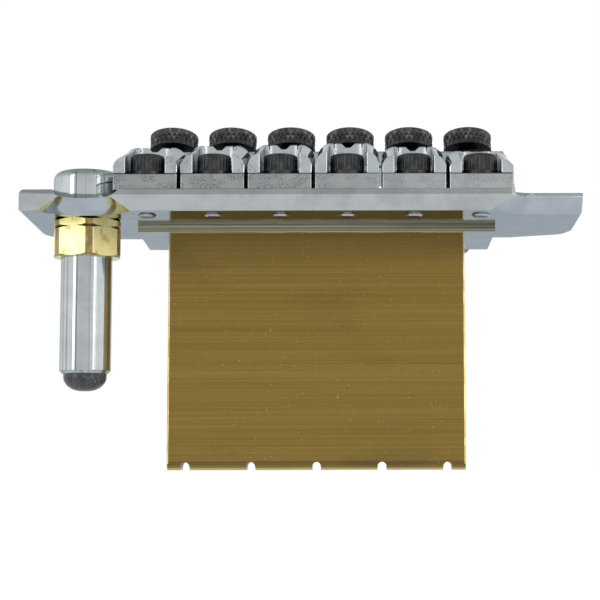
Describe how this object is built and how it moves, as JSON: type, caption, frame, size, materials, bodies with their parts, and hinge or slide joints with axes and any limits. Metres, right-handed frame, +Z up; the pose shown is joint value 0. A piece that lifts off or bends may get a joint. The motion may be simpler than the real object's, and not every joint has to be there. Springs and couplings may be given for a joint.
{
  "type": "guitar tremolo bridge",
  "caption": "Knife-edge tremolo bridge plate with locking saddles, fine tuners, brass sustain block and a threaded arm socket.",
  "frame": {"origin": "middle of the knife-edge line, on the centre line of the strings", "axes": "+X to the bass side along the knife edges, +Y to the tail, +Z up from the guitar's top"},
  "size_m": [0.0925, 0.0711, 0.0619],
  "materials": {
    "plate_chrome": "polished plating",
    "saddle_chrome": "plating with fine pits",
    "arm_chrome": "mirror plating",
    "block_brass": "brushed along its width, slightly tarnished",
    "nut_brass": "bright, polished",
    "black_steel": "black oxide, knurled heads",
    "pin_steel": "ground",
    "clamp_steel": "hardened, dark grey",
    "spring_steel": "rolled strip",
    "bush_plastic": "low-friction plastic",
    "dark_plug": "moulded, slightly rough"
  },
  "bodies": {
    "bridge": {"base_plate": "plate_chrome", "tuner_bridge": "plate_chrome", "sustain_block": "block_brass", "block_screws": "black_steel", "saddle_screws": "black_steel", "leaf_spring": "spring_steel", "leaf_screws": "spring_steel", "arm_tube": "arm_chrome", "arm_cap": "arm_chrome", "arm_lock_nut": "nut_brass", "arm_hex_nut": "nut_brass", "arm_plug": "dark_plug", "arm_bush": "bush_plastic"},
    "foot_1": {"saddle_foot_1": "saddle_chrome", "saddle_pin_1": "pin_steel"},
    "saddle_1": {"saddle_body_1": "saddle_chrome"},
    "clamp_1": {"clamp_block_1": "clamp_steel"},
    "lock_1": {"lock_screw_1": "black_steel"},
    "tuner_1": {"tuner_screw_1": "black_steel"},
    "knob_1": {"tuner_knob_1": "black_steel"},
    "foot_2": {"saddle_foot_2": "saddle_chrome", "saddle_pin_2": "pin_steel"},
    "saddle_2": {"saddle_body_2": "saddle_chrome"},
    "clamp_2": {"clamp_block_2": "clamp_steel"},
    "lock_2": {"lock_screw_2": "black_steel"},
    "tuner_2": {"tuner_screw_2": "black_steel"},
    "knob_2": {"tuner_knob_2": "black_steel"},
    "foot_3": {"saddle_foot_3": "saddle_chrome", "saddle_pin_3": "pin_steel"},
    "saddle_3": {"saddle_body_3": "saddle_chrome"},
    "clamp_3": {"clamp_block_3": "clamp_steel"},
    "lock_3": {"lock_screw_3": "black_steel"},
    "tuner_3": {"tuner_screw_3": "black_steel"},
    "knob_3": {"tuner_knob_3": "black_steel"},
    "foot_4": {"saddle_foot_4": "saddle_chrome", "saddle_pin_4": "pin_steel"},
    "saddle_4": {"saddle_body_4": "saddle_chrome"},
    "clamp_4": {"clamp_block_4": "clamp_steel"},
    "lock_4": {"lock_screw_4": "black_steel"},
    "tuner_4": {"tuner_screw_4": "black_steel"},
    "knob_4": {"tuner_knob_4": "black_steel"},
    "foot_5": {"saddle_foot_5": "saddle_chrome", "saddle_pin_5": "pin_steel"},
    "saddle_5": {"saddle_body_5": "saddle_chrome"},
    "clamp_5": {"clamp_block_5": "clamp_steel"},
    "lock_5": {"lock_screw_5": "black_steel"},
    "tuner_5": {"tuner_screw_5": "black_steel"},
    "knob_5": {"tuner_knob_5": "black_steel"},
    "foot_6": {"saddle_foot_6": "saddle_chrome", "saddle_pin_6": "pin_steel"},
    "saddle_6": {"saddle_body_6": "saddle_chrome"},
    "clamp_6": {"clamp_block_6": "clamp_steel"},
    "lock_6": {"lock_screw_6": "black_steel"},
    "tuner_6": {"tuner_screw_6": "black_steel"},
    "knob_6": {"tuner_knob_6": "black_steel"}
  },
  "joints": [
    {"name": "foot_slide_1", "type": "slide", "parent": "bridge", "child": "foot_1", "axis": [0, 1, 0], "range_m": [-0.0012, 0.0008]},
    {"name": "saddle_tilt_1", "type": "hinge", "parent": "foot_1", "child": "saddle_1", "pos_m": [-0.027, 0.0091, 0.00587], "axis": [1, 0, 0], "range_deg": [-3.03, 0.38]},
    {"name": "tuner_travel_1", "type": "slide", "parent": "bridge", "child": "tuner_1", "axis": [0, 0.2419, 0.9703], "range_m": [-0.0014, 0.00017]},
    {"name": "tuner_turn_1", "type": "hinge", "parent": "tuner_1", "child": "knob_1", "pos_m": [-0.027, 0.0369, 0.01735], "axis": [0, 0.2419, 0.9703], "range_deg": [-727.2, 90.9]},
    {"name": "clamp_travel_1", "type": "slide", "parent": "saddle_1", "child": "clamp_1", "axis": [0, 0.9963, -0.0854], "range_m": [-0.0007, 0.00088]},
    {"name": "lock_turn_1", "type": "hinge", "parent": "clamp_1", "child": "lock_1", "pos_m": [-0.027, 0.0161, 0.00676], "axis": [0, 0.9963, -0.0854], "range_deg": [-363.6, 454.5]},
    {"name": "foot_slide_2", "type": "slide", "parent": "bridge", "child": "foot_2", "axis": [0, 1, 0], "range_m": [-0.0012, 0.0008]},
    {"name": "saddle_tilt_2", "type": "hinge", "parent": "foot_2", "child": "saddle_2", "pos_m": [-0.0162, 0.0091, 0.00587], "axis": [1, 0, 0], "range_deg": [-3.03, 0.38]},
    {"name": "tuner_travel_2", "type": "slide", "parent": "bridge", "child": "tuner_2", "axis": [0, 0.2419, 0.9703], "range_m": [-0.0014, 0.00017]},
    {"name": "tuner_turn_2", "type": "hinge", "parent": "tuner_2", "child": "knob_2", "pos_m": [-0.0162, 0.0369, 0.01735], "axis": [0, 0.2419, 0.9703], "range_deg": [-727.2, 90.9]},
    {"name": "clamp_travel_2", "type": "slide", "parent": "saddle_2", "child": "clamp_2", "axis": [0, 0.9963, -0.0854], "range_m": [-0.0007, 0.00088]},
    {"name": "lock_turn_2", "type": "hinge", "parent": "clamp_2", "child": "lock_2", "pos_m": [-0.0162, 0.0161, 0.00676], "axis": [0, 0.9963, -0.0854], "range_deg": [-363.6, 454.5]},
    {"name": "foot_slide_3", "type": "slide", "parent": "bridge", "child": "foot_3", "axis": [0, 1, 0], "range_m": [-0.0012, 0.0008]},
    {"name": "saddle_tilt_3", "type": "hinge", "parent": "foot_3", "child": "saddle_3", "pos_m": [-0.0054, 0.0091, 0.00587], "axis": [1, 0, 0], "range_deg": [-3.03, 0.38]},
    {"name": "tuner_travel_3", "type": "slide", "parent": "bridge", "child": "tuner_3", "axis": [0, 0.2419, 0.9703], "range_m": [-0.0014, 0.00017]},
    {"name": "tuner_turn_3", "type": "hinge", "parent": "tuner_3", "child": "knob_3", "pos_m": [-0.0054, 0.0369, 0.01735], "axis": [0, 0.2419, 0.9703], "range_deg": [-727.2, 90.9]},
    {"name": "clamp_travel_3", "type": "slide", "parent": "saddle_3", "child": "clamp_3", "axis": [0, 0.9963, -0.0854], "range_m": [-0.0007, 0.00088]},
    {"name": "lock_turn_3", "type": "hinge", "parent": "clamp_3", "child": "lock_3", "pos_m": [-0.0054, 0.0161, 0.00676], "axis": [0, 0.9963, -0.0854], "range_deg": [-363.6, 454.5]},
    {"name": "foot_slide_4", "type": "slide", "parent": "bridge", "child": "foot_4", "axis": [0, 1, 0], "range_m": [-0.0012, 0.0008]},
    {"name": "saddle_tilt_4", "type": "hinge", "parent": "foot_4", "child": "saddle_4", "pos_m": [0.0054, 0.0091, 0.00587], "axis": [1, 0, 0], "range_deg": [-3.03, 0.38]},
    {"name": "tuner_travel_4", "type": "slide", "parent": "bridge", "child": "tuner_4", "axis": [0, 0.2419, 0.9703], "range_m": [-0.0014, 0.00017]},
    {"name": "tuner_turn_4", "type": "hinge", "parent": "tuner_4", "child": "knob_4", "pos_m": [0.0054, 0.0369, 0.01735], "axis": [0, 0.2419, 0.9703], "range_deg": [-727.2, 90.9]},
    {"name": "clamp_travel_4", "type": "slide", "parent": "saddle_4", "child": "clamp_4", "axis": [0, 0.9963, -0.0854], "range_m": [-0.0007, 0.00088]},
    {"name": "lock_turn_4", "type": "hinge", "parent": "clamp_4", "child": "lock_4", "pos_m": [0.0054, 0.0161, 0.00676], "axis": [0, 0.9963, -0.0854], "range_deg": [-363.6, 454.5]},
    {"name": "foot_slide_5", "type": "slide", "parent": "bridge", "child": "foot_5", "axis": [0, 1, 0], "range_m": [-0.0012, 0.0008]},
    {"name": "saddle_tilt_5", "type": "hinge", "parent": "foot_5", "child": "saddle_5", "pos_m": [0.0162, 0.0091, 0.00587], "axis": [1, 0, 0], "range_deg": [-3.03, 0.38]},
    {"name": "tuner_travel_5", "type": "slide", "parent": "bridge", "child": "tuner_5", "axis": [0, 0.2419, 0.9703], "range_m": [-0.0014, 0.00017]},
    {"name": "tuner_turn_5", "type": "hinge", "parent": "tuner_5", "child": "knob_5", "pos_m": [0.0162, 0.0369, 0.01735], "axis": [0, 0.2419, 0.9703], "range_deg": [-727.2, 90.9]},
    {"name": "clamp_travel_5", "type": "slide", "parent": "saddle_5", "child": "clamp_5", "axis": [0, 0.9963, -0.0854], "range_m": [-0.0007, 0.00088]},
    {"name": "lock_turn_5", "type": "hinge", "parent": "clamp_5", "child": "lock_5", "pos_m": [0.0162, 0.0161, 0.00676], "axis": [0, 0.9963, -0.0854], "range_deg": [-363.6, 454.5]},
    {"name": "foot_slide_6", "type": "slide", "parent": "bridge", "child": "foot_6", "axis": [0, 1, 0], "range_m": [-0.0012, 0.0008]},
    {"name": "saddle_tilt_6", "type": "hinge", "parent": "foot_6", "child": "saddle_6", "pos_m": [0.027, 0.0091, 0.00587], "axis": [1, 0, 0], "range_deg": [-3.03, 0.38]},
    {"name": "tuner_travel_6", "type": "slide", "parent": "bridge", "child": "tuner_6", "axis": [0, 0.2419, 0.9703], "range_m": [-0.0014, 0.00017]},
    {"name": "tuner_turn_6", "type": "hinge", "parent": "tuner_6", "child": "knob_6", "pos_m": [0.027, 0.0369, 0.01735], "axis": [0, 0.2419, 0.9703], "range_deg": [-727.2, 90.9]},
    {"name": "clamp_travel_6", "type": "slide", "parent": "saddle_6", "child": "clamp_6", "axis": [0, 0.9963, -0.0854], "range_m": [-0.0007, 0.00088]},
    {"name": "lock_turn_6", "type": "hinge", "parent": "clamp_6", "child": "lock_6", "pos_m": [0.027, 0.0161, 0.00676], "axis": [0, 0.9963, -0.0854], "range_deg": [-363.6, 454.5]}
  ],
  "couplings": [
    {"joint": "tuner_turn_1", "follows": "tuner_travel_1", "rad_per_m": 8976},
    {"joint": "saddle_tilt_1", "follows": "tuner_travel_1", "rad_per_m": 37.452},
    {"joint": "lock_turn_1", "follows": "clamp_travel_1", "rad_per_m": 8976},
    {"joint": "tuner_turn_2", "follows": "tuner_travel_2", "rad_per_m": 8976},
    {"joint": "saddle_tilt_2", "follows": "tuner_travel_2", "rad_per_m": 37.452},
    {"joint": "lock_turn_2", "follows": "clamp_travel_2", "rad_per_m": 8976},
    {"joint": "tuner_turn_3", "follows": "tuner_travel_3", "rad_per_m": 8976},
    {"joint": "saddle_tilt_3", "follows": "tuner_travel_3", "rad_per_m": 37.452},
    {"joint": "lock_turn_3", "follows": "clamp_travel_3", "rad_per_m": 8976},
    {"joint": "tuner_turn_4", "follows": "tuner_travel_4", "rad_per_m": 8976},
    {"joint": "saddle_tilt_4", "follows": "tuner_travel_4", "rad_per_m": 37.452},
    {"joint": "lock_turn_4", "follows": "clamp_travel_4", "rad_per_m": 8976},
    {"joint": "tuner_turn_5", "follows": "tuner_travel_5", "rad_per_m": 8976},
    {"joint": "saddle_tilt_5", "follows": "tuner_travel_5", "rad_per_m": 37.452},
    {"joint": "lock_turn_5", "follows": "clamp_travel_5", "rad_per_m": 8976},
    {"joint": "tuner_turn_6", "follows": "tuner_travel_6", "rad_per_m": 8976},
    {"joint": "saddle_tilt_6", "follows": "tuner_travel_6", "rad_per_m": 37.452},
    {"joint": "lock_turn_6", "follows": "clamp_travel_6", "rad_per_m": 8976}
  ]
}
